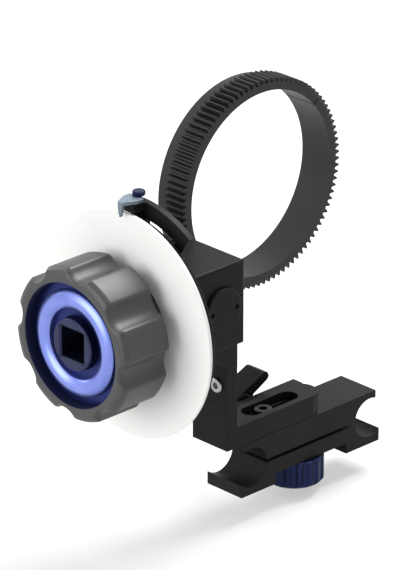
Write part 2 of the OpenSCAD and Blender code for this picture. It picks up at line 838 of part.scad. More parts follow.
// Small screw across the ring's split
module ring_screw() {
  color(steel_colour) forward_axis(clamp_middle, ring_height) rotate([0, 0, seam_turn])
    ring_screw_place() socket_screw(lug_seat, 1, 9.6, 1.6, 1.6);
}

// ---------- handwheel ----------

// Outline of a scallop with rounded corners, to be cut from the round grip
module scallop_outline() {
  translate([scallop_place, 0]) circle(r = scallop_radius);
  for (side = [-1, 1]) {
    corner = corner_place * [cos(corner_lean), side * sin(corner_lean)];
    middle = [scallop_place, 0];
    towards = (corner - middle) / norm(corner - middle);
    difference() {
      polygon([corner * grip_radius / corner_place, corner * (grip_radius + 2) / corner_place,
               middle, middle + scallop_radius * towards]);
      translate(corner) circle(r = lobe_corner + 0.01);
    }
  }
}

// Scalloped black grip
module handwheel_grip() {
  color(black_grip) knob_axis() difference() {
    rotate_extrude() polygon([
      [0, grip_front], [grip_radius - 2.6, grip_front], [grip_radius - 1.1, grip_front + 0.5],
      [grip_radius, grip_front + 2], [grip_radius, grip_rear - 1.8],
      [grip_radius - 1.2, grip_rear], [spigot_radius, grip_rear],
      [spigot_radius, disc_rear], [0, disc_rear]]);
    for (i = [0 : scallops - 1])
      rotate([0, 0, scallop_turn + i * 360 / scallops])
        translate([0, 0, grip_front - 1]) linear_extrude(height = grip_length + 1.5)
          scallop_outline();
    bar(accent_radius + seat_gap, grip_front - 1, grip_front + recess_depth);
    bar(insert_radius + seat_gap, grip_front - 1, insert_rear + seat_gap);
    bar(knob_radius + seat_gap, grip_front, disc_rear + 1);
    for (i = [0 : 2])
      rotate([0, 0, i * 120 + 30]) translate([disc_screw_ring, 0, 0])
        bar(small_screw / 2 + seat_gap, disc_front - 6.6, disc_rear + 1);
  }
}

// Blue ring whose crowned face stands between two deep grooves
module accent_ring() {
  back = grip_front + recess_depth - seat_gap;
  floor = back - accent_base;
  inner = accent_inner / 2;
  outer = inner + accent_width;
  middle = (inner + outer) / 2;
  half = accent_width / 2;
  color(blue_metal) knob_axis() rotate_extrude() polygon(concat(
    [[accent_hole, floor], [inner, floor]],
    [for (i = [-7 : 7]) let (share = i / 7)
      [middle + half * share, accent_crest + accent_rise * share * share]],
    [[outer, floor], [accent_radius, floor], [accent_radius, back], [accent_hole, back]]));
}

// Socket insert with the square hole for a crank or whip
module socket_insert() {
  color(black_metal) knob_axis() difference() {
    chamfered_bar(insert_radius, insert_front, insert_rear, 0.5);
    translate([-socket_width / 2, -socket_width / 2, insert_front - 1])
      cube([socket_width, socket_width, socket_depth + 1]);
    for (turn = [0 : 90 : 270])
      rotate([0, 0, turn]) translate([socket_width / 2, 0, insert_front]) rotate([0, 45, 0])
        cube([socket_chamfer, socket_width + socket_chamfer, socket_chamfer], center = true);
    bar(hub_screw_size / 2 + seat_gap, socket_bottom - 1, insert_rear + 1);
  }
}

// Screw at the bottom of the socket; it holds the handwheel on its shaft
module hub_screw() {
  color(steel_colour) knob_axis()
    socket_screw(socket_bottom, hub_screw_size / 2, hub_screw_length, hub_head, hub_head_height);
}

// White marking disc round the grip
module marking_disc() {
  color(white_plate) knob_axis() difference() {
    chamfered_bar(disc_radius, disc_front, disc_rear, 0.3);
    bar(spigot_radius + seat_gap, disc_front - 1, disc_rear + 1);
  }
}

// Black disc behind it, fixed to the grip
module backing_disc() {
  color(black_metal) knob_axis() difference() {
    chamfered_bar(backing_radius, backing_front, backing_rear, 0.4);
    bar(knob_radius + seat_gap, backing_front - 1, backing_rear + 1);
    tube(disc_radius - 5, boss_radius + 6, backing_rear - 0.8, backing_rear + 1);
    for (i = [0 : 2])
      rotate([0, 0, i * 120 + 30]) translate([disc_screw_ring, 0, 0]) {
        bar(small_screw / 2 + seat_gap, backing_front - 1, backing_rear + 1);
        bar(2.8, backing_rear - 1.5, backing_rear + 1);
      }
  }
}

// Three screws from behind, through the backing disc into the grip
module disc_screws() {
  color(steel_colour) knob_axis() for (i = [0 : 2])
    rotate([0, 0, i * 120 + 30]) translate([disc_screw_ring, 0, 0]) rotate([180, 0, 0])
      socket_screw(-(backing_rear - 1.5), small_screw / 2, 7.2, 2.7, 1.4);
}

// ---------- index ----------

// Friction ring on the gearbox boss, with an arm that reaches past the disc's rim
module index_ring() {
  color(black_metal) knob_axis() difference() {
    union() {
      bar(boss_radius + 4, index_left, index_right);
      intersection() {
        tube(index_outer, boss_radius + 2, index_left, index_right);
        translate([0, 0, index_left]) linear_extrude(height = index_thickness)
          polygon(concat([[0, 0]],
            [for (i = [0 : 4]) polar(2 * index_outer, 84 + (6 + index_sector) * i / 4)]));
      }
      intersection() {
        tube(index_outer, index_outer - 2.9, pointer_front + 3.1, index_right - 0.5);
        translate([-pointer_width / 2, 0, pointer_front])
          cube([pointer_width, 2 * index_outer, 20]);
      }
    }
    bar(boss_radius + running_gap, index_left - 1, index_right + 1);
    translate([0, index_outer - index_screw_reach - 0.2, index_screw_place]) rotate([-90, 0, 0])
      bar(index_screw_size / 2 + seat_gap, 0, 8);
    difference() {
      tube(index_outer - 6, boss_radius + 9, index_left - 1, index_right + 1);
      translate([-pointer_width / 2, 0, index_left - 2]) cube([pointer_width, 60, 8]);
      mirror([1, 0, 0]) rotate([0, 0, 0])
        linear_extrude(height = 200, center = true)
          polygon([[0, 0], polar(90, 90 - index_sector), polar(90, 96 - index_sector)]);
    }
  }
}

// Pointer: a tapered plate on the arm, with a narrow tip bent down to the disc's rim
module index_pointer() {
  under = index_outer + seat_gap;
  wide = pointer_width / 2;
  narrow = pointer_tip / 2;
  color(steel_colour) knob_axis() difference() {
    union() {
      translate([0, under, 0]) rotate([-90, 0, 0])
        linear_extrude(height = pointer_thickness) polygon([
          [-wide, 3 - index_right], [wide, 3 - index_right], [wide, -pointer_front - 5],
          [narrow, -pointer_front], [-narrow, -pointer_front], [-wide, -pointer_front - 5]]);
      translate([0, 0, pointer_front]) linear_extrude(height = 1.3)
        polygon([[-narrow, under + 0.5], [narrow, under + 0.5], [narrow, under - 1.4],
                 [0.3, disc_radius - 0.8], [-0.3, disc_radius - 0.8], [-narrow, under - 1.4]]);
    }
    translate([0, index_outer - 3, index_screw_place]) rotate([-90, 0, 0])
      bar(index_screw_size / 2 + seat_gap, 0, 8);
  }
}

// Small blue screw that fixes the pointer on the arm
module index_screw() {
  seat = pointer_thickness + 2 * seat_gap;
  color(blue_metal) knob_axis() translate([0, index_outer + seat, index_screw_place])
    rotate([-90, 0, 0]) difference() {
      union() {
        chamfered_bar(index_head, 0, index_head_height, 0.3);
        bar(index_screw_size / 2, -seat - index_screw_reach, 1);
      }
      for (i = [0 : 11])
        rotate([0, 0, i * 30]) translate([index_head + 0.2, 0, 0]) bar(0.4, -0.5, 4);
    }
}

// ---------- assembly ----------

clamp_block();
rod_jaw();
clamp_thumbscrew();
clamp_stud();
slide_foot();
gearbox_arm();
lap_screws();
guide_screw();
lock_lever();
lock_lever_screw();
lock_pad();
gear_housing();
housing_floor();
arm_screws();
knob_bearings();
bearing_spacer();
drive_bearings();
rear_cap();
snap_ring();
knob_shaft();
knob_bevel_gear();
drive_shaft();
drive_bevel_gear();
drive_gear();
gear_thumbscrew();
gear_ring();
ring_screw();
handwheel_grip();
accent_ring();
socket_insert();
hub_screw();
marking_disc();
backing_disc();
disc_screws();
index_ring();
index_pointer();
index_screw();
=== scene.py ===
"""Looks of the follow focus unit: materials, finished copies of the machined pieces, light and camera.

Everything is in metres, in the CAD's frame: +X from the handwheel to the toothed ring, +Y forward,
+Z up. MM turns millimetres into metres.
"""

import json
import math

import bmesh
import bpy
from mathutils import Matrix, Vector


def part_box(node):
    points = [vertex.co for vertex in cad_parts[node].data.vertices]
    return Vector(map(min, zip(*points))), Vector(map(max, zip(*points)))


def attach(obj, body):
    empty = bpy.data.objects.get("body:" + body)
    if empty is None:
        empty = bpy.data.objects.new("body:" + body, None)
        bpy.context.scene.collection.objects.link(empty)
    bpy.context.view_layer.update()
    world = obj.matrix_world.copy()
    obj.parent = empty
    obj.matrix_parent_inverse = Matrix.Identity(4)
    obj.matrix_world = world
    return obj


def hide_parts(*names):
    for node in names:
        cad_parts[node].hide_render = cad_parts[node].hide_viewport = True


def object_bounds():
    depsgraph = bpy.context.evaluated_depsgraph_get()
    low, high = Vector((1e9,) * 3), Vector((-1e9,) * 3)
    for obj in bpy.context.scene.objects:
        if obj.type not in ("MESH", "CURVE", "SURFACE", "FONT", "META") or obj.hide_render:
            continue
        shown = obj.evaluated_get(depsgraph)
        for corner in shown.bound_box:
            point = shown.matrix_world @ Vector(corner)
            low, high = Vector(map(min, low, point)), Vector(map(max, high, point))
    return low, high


MM = 0.001

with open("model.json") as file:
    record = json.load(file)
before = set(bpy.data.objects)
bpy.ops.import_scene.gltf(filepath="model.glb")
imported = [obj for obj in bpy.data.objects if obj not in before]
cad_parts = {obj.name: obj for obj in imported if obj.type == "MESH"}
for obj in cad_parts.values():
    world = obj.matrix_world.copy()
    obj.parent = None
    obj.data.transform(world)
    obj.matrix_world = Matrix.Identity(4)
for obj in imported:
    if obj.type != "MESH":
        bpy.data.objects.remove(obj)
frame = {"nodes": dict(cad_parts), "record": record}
cad_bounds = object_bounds()
nodes = frame["nodes"]

# The knob axis runs along X, the drive axis along Y and the clamp screw's axis along Z.
KNOB_AXIS = Vector((0.0, 2.0, 68.0)) * MM
DRIVE_AXIS = Vector((-18.8, 0.0, 68.0)) * MM
CLAMP_AXIS = Vector((30.0, 0.0, 0.0)) * MM
# The directions that count for the distance from such an axis.
ROUND_X, ROUND_Y, ROUND_Z = (0, 1, 1), (1, 0, 1), (1, 1, 0)


# ---------------------------------------------------------------- camera

# The photograph looks down on the unit from its handwheel's side, from about 1.8 m away.
# The camera's lens is longer than the photograph's, so that this one object fills the frame.
VIEW_AZIMUTH = math.radians(-44.2)
VIEW_ELEVATION = math.radians(23.6)
VIEW_DISTANCE = 1.8
# What the frame spans from bottom to top at the object, in metres.
VIEW_HEIGHT = 0.200
# Nothing farther away than this is drawn, in metres.
VIEW_END = 50
# In millimetres, as sensors and lenses are given.
SENSOR_HEIGHT = 36.0
# How far the aim lies right of and above the middle of the CAD box, so that the object is centred.
AIM_RIGHT = -8.0 * MM
AIM_UP = 10.0 * MM


def place_camera():
    """Puts the camera in the photograph's viewing direction and distance."""
    direction = Vector((
        math.sin(VIEW_AZIMUTH) * math.cos(VIEW_ELEVATION),
        -math.cos(VIEW_AZIMUTH) * math.cos(VIEW_ELEVATION),
        math.sin(VIEW_ELEVATION),
    ))
    data = bpy.data.cameras.new("camera")
    data.sensor_fit = "VERTICAL"
    data.sensor_height = SENSOR_HEIGHT
    data.lens = SENSOR_HEIGHT * VIEW_DISTANCE / VIEW_HEIGHT
    data.clip_end = VIEW_END
    camera = bpy.data.objects.new("camera", data)
    bpy.context.scene.collection.objects.link(camera)
    turn = (-direction).to_track_quat("-Z", "Y")
    low, high = (Vector(corner) for corner in cad_bounds)
    aim = (low + high) / 2 + turn @ Vector((AIM_RIGHT, AIM_UP, 0))
    camera.location = aim + direction * VIEW_DISTANCE
    camera.rotation_mode = "QUATERNION"
    camera.rotation_quaternion = turn
    bpy.context.scene.camera = camera


place_camera()


# ---------------------------------------------------------------- materials

def colour(hex_value):
    """An sRGB hex value as linear RGBA, by the sRGB curve."""
    channels = [int(hex_value[i : i + 2], 16) / 255 for i in (1, 3, 5)]
    linear = [c / 12.92 if c <= 0.04045 else ((c + 0.055) / 1.055) ** 2.4 for c in channels]
    return (*linear, 1.0)


def add(tree, kind, settings=None, inputs=None):
    """Adds a node. settings sets its properties. inputs sets its sockets, or links them to others."""
    node = tree.nodes.new(kind)
    for name, value in (settings or {}).items():
        setattr(node, name, value)
    for name, value in (inputs or {}).items():
        socket = node.inputs[name]
        if isinstance(value, bpy.types.NodeSocket):
            tree.links.new(value, socket)
        else:
            socket.default_value = value
    return node


def new_material(name, **values):
    """A material with a principled shader; values set the shader's plain sockets."""
    material = bpy.data.materials.new(name)
    material.use_nodes = True
    tree = material.node_tree
    tree.nodes.clear()
    plain = {socket.replace("_", " "): value for socket, value in values.items()}
    shader = add(tree, "ShaderNodeBsdfPrincipled", None, plain)
    add(tree, "ShaderNodeOutputMaterial", None, {"Surface": shader.outputs["BSDF"]})
    return material, tree, shader


def place_from(tree, centre=(0, 0, 0), scale=(1, 1, 1)):
    """Places on the piece, in metres from a centre, with each direction scaled: 0 leaves one out."""
    point = add(tree, "ShaderNodeTexCoord").outputs["Object"]
    moved = [-place * share for place, share in zip(centre, scale)]
    mapping = add(
        tree, "ShaderNodeMapping", None, {"Vector": point, "Location": moved, "Scale": scale}
    )
    return mapping.outputs["Vector"]


def distance_from(tree, axis, around):
    """How far places on the piece lie from an axis, in metres."""
    flat = place_from(tree, axis, around)
    return add(tree, "ShaderNodeVectorMath", {"operation": "LENGTH"}, {0: flat}).outputs["Value"]


# A noise's patch is half its cell, and its values mostly lie between the low and the high one.
PATCH_OF_CELL = 0.5
NOISE_LOW, NOISE_HIGH = 0.3, 0.7
NOISE_DETAIL = 3.0
# Sockets of a node that mixes colours, by number because their names repeat.
MIX_SHARE, MIX_FIRST, MIX_SECOND, MIX_RESULT = 0, 6, 7, 2
# Share of a bump's depth that shows.
PIT_STRENGTH = 0.3
RING_STRENGTH = 0.25


def drifting(tree, place, size, low, high):
    """A value that drifts from low to high in soft patches of a size."""
    noise = add(
        tree, "ShaderNodeTexNoise", None,
        {"Vector": place, "Scale": PATCH_OF_CELL / size, "Detail": NOISE_DETAIL},
    )
    return add(
        tree, "ShaderNodeMapRange", None,
        {
            "Value": noise.outputs["Fac"], "From Min": NOISE_LOW, "From Max": NOISE_HIGH,
            "To Min": low, "To Max": high,
        },
    ).outputs["Result"]


def dyed(tree, place, size, dark, light):
    """A colour that drifts between two shades in soft patches, as a dye bath leaves it."""
    share = drifting(tree, place, size, 0, 1)
    shades = {MIX_SHARE: share, MIX_FIRST: colour(dark), MIX_SECOND: colour(light)}
    return add(tree, "ShaderNodeMix", {"data_type": "RGBA"}, shades).outputs[MIX_RESULT]


def stepping(tree, value, near, far, first, second):
    """Takes one colour over into another while a value goes from near to far."""
    share = add(
        tree, "ShaderNodeMapRange", None, {"Value": value, "From Min": near, "From Max": far}
    ).outputs["Result"]
    shades = {MIX_SHARE: share, MIX_FIRST: first, MIX_SECOND: second}
    return add(tree, "ShaderNodeMix", {"data_type": "RGBA"}, shades).outputs[MIX_RESULT]


def pit(tree, shader, place, size, depth, smooth, rough):
    """Fine pits that break up the shine, between two roughnesses."""
    pits = add(
        tree, "ShaderNodeTexNoise", None,
        {"Vector": place, "Scale": PATCH_OF_CELL / size, "Detail": NOISE_DETAIL},
    )
    dents = add(
        tree, "ShaderNodeBump", None,
        {"Height": pits.outputs["Fac"], "Distance": depth, "Strength": PIT_STRENGTH},
    )
    tree.links.new(dents.outputs["Normal"], shader.inputs["Normal"])
    tree.links.new(drifting(tree, place, size, smooth, rough), shader.inputs["Roughness"])


# Marks too fine to show are drawn coarser: a lathe's feed of 0.1 mm at 0.8 mm, blasting pits and
# tool marks of 0.1 mm at 0.35 and 0.3 mm, and an eggshell of 0.2 mm at 0.5 mm.
LATHE_FEED = 0.8 * MM
LATHE_DEPTH = 0.012 * MM
BLAST_PIT = 0.35 * MM
TOOL_MARK = 0.3 * MM
EGGSHELL = 0.5 * MM


def turn_rings(tree, shader, axis, around):
    """The fine rings that a lathe leaves round an axis, one for each feed."""
    angle = add(
        tree, "ShaderNodeMath", {"operation": "MULTIPLY"},
        {0: distance_from(tree, axis, around), 1: 2 * math.pi / LATHE_FEED},
    ).outputs[0]
    wave = add(tree, "ShaderNodeMath", {"operation": "SINE"}, {0: angle}).outputs[0]
    rings = add(
        tree, "ShaderNodeBump", None,
        {"Height": wave, "Distance": LATHE_DEPTH, "Strength": RING_STRENGTH},
    )
    tree.links.new(rings.outputs["Normal"], shader.inputs["Normal"])


def black_anodised_blasted():
    """Aluminium, bead blasted and anodised black: deep and dull, with a fine grain and a weak shine."""
    material, tree, shader = new_material(
        "black_anodised_blasted_aluminium", Metallic=0.1, Specular_IOR_Level=0.08
    )
    place = place_from(tree)
    shade = dyed(tree, place, size=9 * MM, dark="#171718", light="#1e1e1f")
    tree.links.new(shade, shader.inputs["Base Color"])
    pit(tree, shader, place, size=BLAST_PIT, depth=0.04 * MM, smooth=0.38, rough=0.5)
    return material


def grip_anodised():
    """Aluminium, milled, blasted and anodised dark grey: satin, so its lobes carry long soft lights.

    The recess round the blue ring is painted deep navy: painted shade, tinted blue as the ring's
    reflection.
    """
    material, tree, shader = new_material(
        "dark_anodised_milled_aluminium", Metallic=0.1, Specular_IOR_Level=0.55
    )
    place = place_from(tree)
    grey = dyed(tree, place, size=7 * MM, dark="#343637", light="#3c3b3b")
    # Painted shade, tinted blue as the blue ring's reflection: navy inside the recess's wall, and grey
    # again behind its floor.
    radius = distance_from(tree, KNOB_AXIS, ROUND_X)
    painted_recess_shade = stepping(
        tree, radius, near=22.6 * MM, far=22.9 * MM, first=colour("#10152e"), second=grey
    )
    across = add(tree, "ShaderNodeSeparateXYZ", None, {0: place}).outputs["X"]
    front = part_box("handwheel_grip")[0].x
    colour_with_painted_shade = stepping(
        tree, across, near=front + 5.5 * MM, far=front + 6 * MM, first=painted_recess_shade, second=grey
    )
    tree.links.new(colour_with_painted_shade, shader.inputs["Base Color"])
    pit(tree, shader, place, size=BLAST_PIT, depth=0.03 * MM, smooth=0.4, rough=0.5)
    return material


def navy_anodised(name, axis, around):
    """Aluminium, turned on a lathe and dyed navy: a dark metal colour with fine rings in its shine."""
    material, tree, shader = new_material(name, Metallic=0.8)
    place = place_from(tree)
    shade = dyed(tree, place, size=5 * MM, dark="#121b3a", light="#182247")
    dullness = drifting(tree, place, size=5 * MM, low=0.3, high=0.4)
    tree.links.new(shade, shader.inputs["Base Color"])
    tree.links.new(dullness, shader.inputs["Roughness"])
    turn_rings(tree, shader, axis, around)
    return material


def accent_blue():
    """Aluminium, turned and dyed periwinkle blue: the floors of its grooves are painted deep navy as
    shade.
    """
    material, tree, shader = new_material("blue_anodised_turned_aluminium", Metallic=0.8)
    place = place_from(tree)
    face = dyed(tree, place, size=5 * MM, dark="#7786d4", light="#8391da")
    across = add(tree, "ShaderNodeSeparateXYZ", None, {0: place}).outputs["X"]
    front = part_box("accent_ring")[0].x
    # Painted shade: deep navy from the grooves' floors backwards, behind the blue flanks.
    colour_with_painted_shade = stepping(
        tree, across, near=front + 2.4 * MM, far=front + 3.0 * MM, first=face, second=colour("#1a2560")
    )
    dullness = drifting(tree, place, size=5 * MM, low=0.28, high=0.36)
    tree.links.new(colour_with_painted_shade, shader.inputs["Base Color"])
    tree.links.new(dullness, shader.inputs["Roughness"])
    turn_rings(tree, shader, KNOB_AXIS, ROUND_X)
    return material


def socket_anodised():
    """Aluminium, turned and broached, dyed blue-black, with painted light: its front lip is a lighter,
    duller grey-blue as if lit, and the wall and hole behind it are painted darker as shade.
    """
    material, tree, shader = new_material("blue_black_anodised_aluminium", Metallic=0.6)
    place = place_from(tree)
    lip = dyed(tree, place, size=3 * MM, dark="#1f2542", light="#272e4e")
    across = add(tree, "ShaderNodeSeparateXYZ", None, {0: place}).outputs["X"]
    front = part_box("socket_insert")[0].x
    # Painted light: the lip lighter as a painted highlight, the boss's wall and the hole behind it
    # darker as painted shade.
    colour_with_painted_shade = stepping(
        tree, across, near=front + 0.3 * MM, far=front + 0.9 * MM, first=lip, second=colour("#0e1228")
    )
    dullness = drifting(tree, place, size=3 * MM, low=0.34, high=0.44)
    tree.links.new(colour_with_painted_shade, shader.inputs["Base Color"])
    tree.links.new(dullness, shader.inputs["Roughness"])
    turn_rings(tree, shader, KNOB_AXIS, ROUND_X)
    return material


def white_writing_plate():
    """Polyester writing plate, white and matte: a faint eggshell, a little greyer in soft patches."""
    material, tree, shader = new_material("white_writing_plate", IOR=1.5, Specular_IOR_Level=0.4)
    place = place_from(tree)
    shade = dyed(tree, place, size=14 * MM, dark="#ededeb", light="#f2f2f0")
    tree.links.new(shade, shader.inputs["Base Color"])
    pit(tree, shader, place, size=EGGSHELL, depth=0.015 * MM, smooth=0.5, rough=0.6)
    return material


def acetal_cut():
    """Acetal, cut and tumbled, black: a soft greasy shine that drifts over the teeth."""
    material, tree, shader = new_material("black_acetal", IOR=1.48, Specular_IOR_Level=0.3)
    place = place_from(tree)
    shade = dyed(tree, place, size=4 * MM, dark="#171716", light="#1e1e1d")
    tree.links.new(shade, shader.inputs["Base Color"])
    pit(tree, shader, place, size=EGGSHELL, depth=0.02 * MM, smooth=0.4, rough=0.52)
    return material


def stainless_turned():
    """Stainless steel, turned: grey-white metal whose shine is drawn out in streaks."""
    material, tree, shader = new_material("turned_stainless_steel", Metallic=1.0)
    # The streaks are about seven times as long along X as they are wide.
    place = place_from(tree, scale=(0.15, 1.0, 1.0))
    shade = dyed(tree, place, size=TOOL_MARK, dark="#8f9193", light="#b4b5b7")
    tree.links.new(shade, shader.inputs["Base Color"])
    pit(tree, shader, place, size=TOOL_MARK, depth=0.01 * MM, smooth=0.24, rough=0.4)
    return material


def stainless_rolled():
    """Stainless steel, its thread rolled: burnished grey-white metal with small duller spots."""
    material, tree, shader = new_material("rolled_stainless_steel", Metallic=1.0)
    place = place_from(tree)
    shade = dyed(tree, place, size=0.5 * MM, dark="#8b8d8f", light="#a6a7a9")
    dullness = drifting(tree, place, size=0.5 * MM, low=0.26, high=0.38)
    tree.links.new(shade, shader.inputs["Base Color"])
    tree.links.new(dullness, shader.inputs["Roughness"])
    return material


def steel_black_oxide():
    """Screw steel with an oiled black oxide skin: near black, brownish, with a low oily shine."""
    material, tree, shader = new_material("black_oxide_steel", Metallic=0.8)
    place = place_from(tree)
    shade = dyed(tree, place, size=1.5 * MM, dark="#252322", light="#322f2d")
    tree.links.new(shade, shader.inputs["Base Color"])
    pit(tree, shader, place, size=TOOL_MARK, depth=0.01 * MM, smooth=0.3, rough=0.42)
    return material


def brass_machined():
    """Free-cutting brass, machined: warm yellow metal, slightly tarnished in patches."""
    material, tree, shader = new_material("machined_brass", Metallic=1.0)
    place = place_from(tree)
    shade = dyed(tree, place, size=2 * MM, dark="#a8843f", light="#c9a558")
    tree.links.new(shade, shader.inputs["Base Color"])
    pit(tree, shader, place, size=TOOL_MARK, depth=0.01 * MM, smooth=0.28, rough=0.4)
    return material


def pointer_anodised():
    """Aluminium, blasted and anodised grey-blue: pale, cool and satin."""
    material, tree, shader = new_material("grey_blue_anodised_aluminium", Metallic=0.4)
    place = place_from(tree)
    shade = dyed(tree, place, size=3 * MM, dark="#66727f", light="#768290")
    tree.links.new(shade, shader.inputs["Base Color"])
    pit(tree, shader, place, size=BLAST_PIT, depth=0.02 * MM, smooth=0.36, rough=0.46)
    return material


# The finish of every CAD node.
FINISHES = {
    black_anodised_blasted(): (
        "clamp_block", "rod_jaw", "slide_foot", "gearbox_arm", "lock_lever", "gear_housing",
        "housing_floor", "rear_cap", "backing_disc", "index_ring",
    ),
    grip_anodised(): ("handwheel_grip",),
    accent_blue(): ("accent_ring",),
    socket_anodised(): ("socket_insert",),
    navy_anodised("navy_anodised_aluminium_turned_on_z", CLAMP_AXIS, ROUND_Z): (
        "clamp_thumbscrew", "index_screw",
    ),
    navy_anodised("navy_anodised_aluminium_turned_on_y", DRIVE_AXIS, ROUND_Y): ("gear_thumbscrew",),
    white_writing_plate(): ("marking_disc",),
    acetal_cut(): ("drive_gear", "gear_ring"),
    stainless_rolled(): ("clamp_stud",),
    stainless_turned(): (
        "lap_screws", "lock_lever_screw", "arm_screws", "knob_bearings",
        "bearing_spacer", "drive_bearings", "snap_ring", "knob_shaft", "drive_shaft",
        "ring_screw", "hub_screw", "disc_screws",
    ),
    steel_black_oxide(): ("guide_screw",),
    brass_machined(): ("lock_pad", "knob_bevel_gear", "drive_bevel_gear"),
    pointer_anodised(): ("index_pointer",),
}
bodies = frame["record"]["behaviour"]["bodies"]
finish_of = {node: material for material, members in FINISHES.items() for node in members}
body_of = {node: body for body, members in bodies.items() for node in members}

for node, thing in nodes.items():
    thing.data.materials.clear()
    thing.data.materials.append(finish_of[node])


# ---------------------------------------------------------------- pieces

# Corners nearer than this are one corner, and faces that turn by less than this are one flat face.
WELD = 0.0005 * MM
FLAT_TURN = math.radians(0.6)
# Edges that turn by more degrees stay sharp: on machined pieces, on the grip and on the blue ring.
SHARP_TURN = 32
GRIP_SHARP_TURN = 38
RING_SHARP_TURN = 40
# Faces across a broken edge, and across a turned piece's rounded corner.
EDGE_FACES = 2
CORNER_FACES = 3


def smooth_with_creases(shape, crease):
    """Smooth shading that stays sharp along edges that turn by more than crease degrees."""
    for face in shape.faces:
        face.smooth = True
    for edge in shape.edges:
        edge.smooth = len(edge.link_faces) == 2 and edge.calc_face_angle() < math.radians(crease)


def finished_piece(shape, node, crease):
    """Makes a shape the piece that stands for a node, with the node's finish, body and slot."""
    smooth_with_creases(shape, crease)
    mesh = bpy.data.meshes.new(f"{node}_finished")
    shape.to_mesh(mesh)
    shape.free()
    piece = bpy.data.objects.new(f"{node}_finished", mesh)
    mesh.materials.append(finish_of[node])
    bpy.context.scene.collection.objects.link(piece)
    # Flat faces stay flat beside their broken edges.
    weighted = piece.modifiers.new("flat_faces", "WEIGHTED_NORMAL")
    weighted.keep_sharp = True
    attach(piece, body_of[node])
    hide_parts(node)


def break_edges(node, width):
    """Finishes a copy of a machined CAD piece with its sharp edges broken, as a deburred part's are."""
    shape = bmesh.new()
    shape.from_mesh(nodes[node].data)
    bmesh.ops.remove_doubles(shape, verts=shape.verts, dist=WELD)
    bmesh.ops.dissolve_limit(shape, angle_limit=FLAT_TURN, verts=shape.verts, edges=shape.edges)
    if width:
        sharp = [
            edge for edge in shape.edges
            if len(edge.link_faces) == 2 and edge.calc_face_angle() > math.radians(SHARP_TURN)
        ]
        bmesh.ops.bevel(
            shape, geom=sharp, offset=width, offset_type="OFFSET", segments=EDGE_FACES,
            profile=0.5, affect="EDGES", clamp_overlap=True, material=-1,
        )
    finished_piece(shape, node, SHARP_TURN)


# Width of the broken edges, in millimetres, piece by piece. At 0 the copy is only merged and smoothed.
BROKEN_EDGES = {
    "clamp_block": 0.35,
    "rod_jaw": 0.35,
    "slide_foot": 0.35,
    "gearbox_arm": 0.3,
    "lock_lever": 0.5,
    "gear_housing": 0.0,
    "housing_floor": 0.0,
    "rear_cap": 0.15,
    "backing_disc": 0.12,
    "index_ring": 0.25,
    "index_pointer": 0.2,
    "index_screw": 0.08,
    "clamp_thumbscrew": 0.25,
    "gear_thumbscrew": 0.12,
    "socket_insert": 0.2,
    "marking_disc": 0.1,
    "drive_gear": 0.0,
    "gear_ring": 0.0,
    "lap_screws": 0.1,
    "guide_screw": 0.15,
    "hub_screw": 0.15,
    "arm_screws": 0.1,
    "ring_screw": 0.08,
}
for node, width in BROKEN_EDGES.items():
    break_edges(node, width * MM)


def spun(outline, rounding, steps):
    """A shape turned round the knob axis, its corners rounded.

    outline is (place along X, radius) pairs of a closed profile.
    """
    shape = bmesh.new()
    corners = [shape.verts.new(KNOB_AXIS + Vector((x, 0, radius))) for x, radius in outline]
    profile = shape.faces.new(corners)
    bmesh.ops.bevel(
        shape, geom=list(profile.verts), offset=rounding, offset_type="OFFSET",
        segments=CORNER_FACES, profile=0.5, affect="VERTICES", clamp_overlap=True, material=-1,
    )
    bmesh.ops.delete(shape, geom=list(shape.faces), context="FACES_ONLY")
    bmesh.ops.spin(
        shape, geom=list(shape.verts) + list(shape.edges),
        cent=KNOB_AXIS, axis=(1, 0, 0), dvec=(0, 0, 0),
        angle=2 * math.pi, steps=steps, use_merge=True, use_normal_flip=False, use_duplicate=False,
    )
    bmesh.ops.remove_doubles(shape, verts=shape.verts, dist=WELD)
    bmesh.ops.recalc_face_normals(shape, faces=shape.faces)
    return shape


# The grip: the same sizes as the CAD's.
GRIP_RADIUS = 28.0 * MM
SCALLOPS = 8
SCALLOP_RADIUS = 6.0 * MM
SCALLOP_DEPTH = 3.0 * MM
SCALLOP_TURN = math.radians(7.5)
LOBE_CORNER = 1.5 * MM
SPIGOT_RADIUS = 20.0 * MM
SPIGOT_LENGTH = 6.5 * MM
RECESS_RADIUS = 22.52 * MM
RECESS_DEPTH = 4.8 * MM
INSERT_HOLE = 9.52 * MM
INSERT_END = 17.92 * MM
SHAFT_HOLE = 4.02 * MM
# The rims of the blank: (along the axis, inwards) from the corner that the rounding takes off, in mm.
FRONT_RIM = ((0.0, 2.7), (0.6, 1.0), (2.2, 0.0))
BACK_RIM = ((1.9, 0.0), (0.5, 0.6), (0.0, 1.6))
# Of the blank's corners, and the steps round one turn.
GRIP_ROUNDING = 0.4 * MM
GRIP_STEPS = SCALLOPS * 60
# From this radius outwards the metal is pressed in.
PRESSED_FROM = RECESS_RADIUS + 0.6 * MM
# Circles of the outline: a scallop's middle and a lobe corner's middle, from the axis.
SCALLOP_MIDDLE = GRIP_RADIUS - SCALLOP_DEPTH + SCALLOP_RADIUS
CORNER_MIDDLE = GRIP_RADIUS - LOBE_CORNER
CORNER_LEAN = math.acos(
    (CORNER_MIDDLE**2 + SCALLOP_MIDDLE**2 - (SCALLOP_RADIUS + LOBE_CORNER) ** 2)
    / (2 * CORNER_MIDDLE * SCALLOP_MIDDLE)
)


